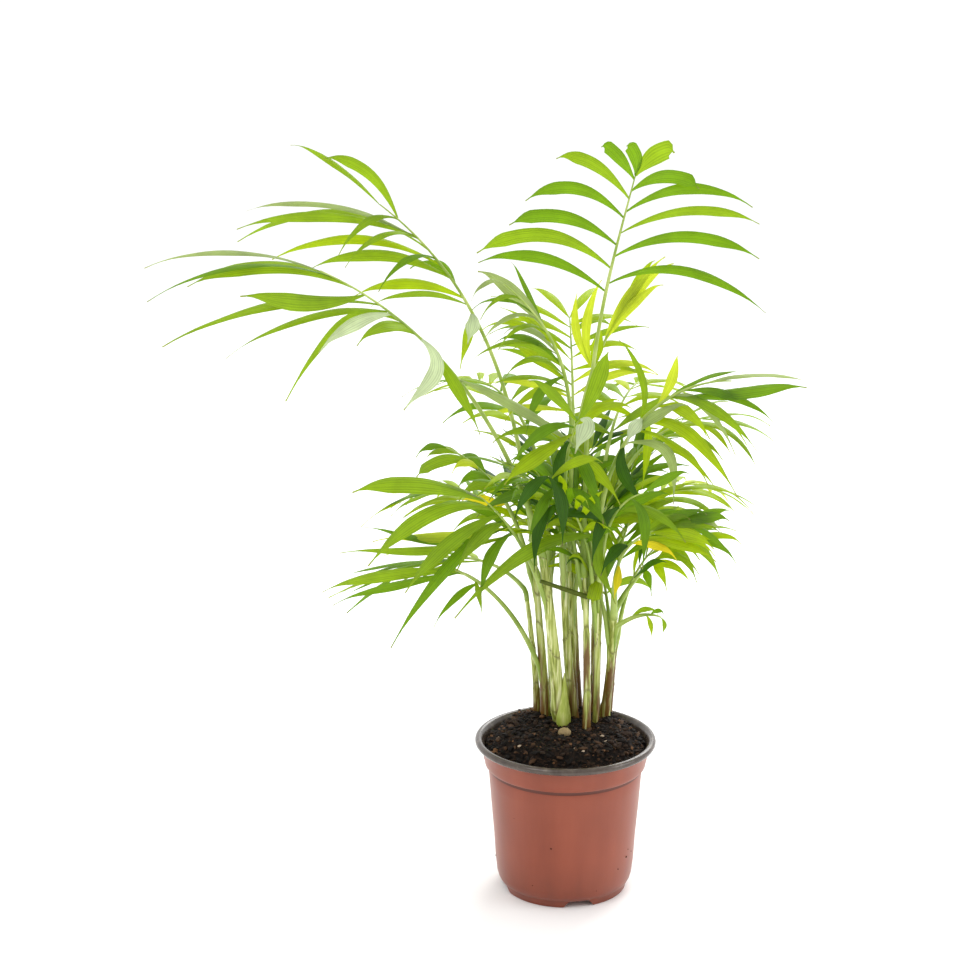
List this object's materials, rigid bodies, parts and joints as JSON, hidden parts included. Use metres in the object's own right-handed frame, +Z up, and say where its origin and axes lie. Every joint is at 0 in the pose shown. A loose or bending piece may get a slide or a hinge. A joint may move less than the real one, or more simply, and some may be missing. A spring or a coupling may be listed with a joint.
{
  "type": "potted parlour palm",
  "caption": "Parlour palm in a round nursery pot: a clump of slender cane stems rises from the soil and carries arching feather fronds that spread to all sides.",
  "frame": {"origin": "centre of the pot's flat underside, on the surface the pot stands on", "axes": "+Z up along the pot's axis, -Y towards the viewer of the picture, +X to that viewer's right"},
  "size_m": [0.4159, 0.3153, 0.5003],
  "materials": {
    "terracotta_plastic": "satin, moulded",
    "potting_soil": "rough, crumbly",
    "cane": "smooth, with papery sheaths",
    "leaf": "satin"
  },
  "bodies": {
    "root": {"pot": "terracotta_plastic", "soil": "potting_soil", "stem_left_outer": "cane", "stem_left": "cane", "stem_front_left": "cane", "stem_front": "cane", "stem_mid": "cane", "stem_right_front": "cane", "stem_right_inner": "cane", "stem_right": "cane", "stem_right_outer": "cane", "stem_right_rear": "cane", "stem_rear_left": "cane", "stem_rear_mid": "cane", "stem_rear_right": "cane", "cut_stalk": "cane", "frond_left_near_stalk": "leaf", "frond_left_near_blade": "leaf", "frond_left_far_stalk": "leaf", "frond_left_far_blade": "leaf", "frond_crown_right_stalk": "leaf", "frond_crown_right_blade": "leaf", "frond_crown_young_stalk": "leaf", "frond_crown_young_blade": "leaf", "frond_crown_left_stalk": "leaf", "frond_crown_left_blade": "leaf", "frond_right_high_stalk": "leaf", "frond_right_high_blade": "leaf", "frond_right_rear_stalk": "leaf", "frond_right_rear_blade": "leaf", "frond_right_low": "leaf", "frond_right_low_rear": "leaf", "frond_right_foot": "leaf", "frond_left_low": "leaf", "frond_left_low_rear": "leaf", "frond_left_foot_stalk": "leaf", "frond_left_foot_blade": "leaf", "frond_left_mid_stalk": "leaf", "frond_left_mid_blade": "leaf", "frond_front_left": "leaf", "frond_front_right": "leaf", "frond_front_high_stalk": "leaf", "frond_front_high_blade": "leaf", "frond_rear_left_stalk": "leaf", "frond_rear_left_blade": "leaf", "frond_rear_mid_stalk": "leaf", "frond_rear_mid_blade": "leaf", "frond_rear_right_stalk": "leaf", "frond_rear_right_blade": "leaf", "frond_rear_low_left_stalk": "leaf", "frond_rear_low_left_blade": "leaf", "frond_rear_low_stalk": "leaf", "frond_rear_low_blade": "leaf", "frond_rear_low_right_stalk": "leaf", "frond_rear_low_right_blade": "leaf"}
  },
  "joints": []
}
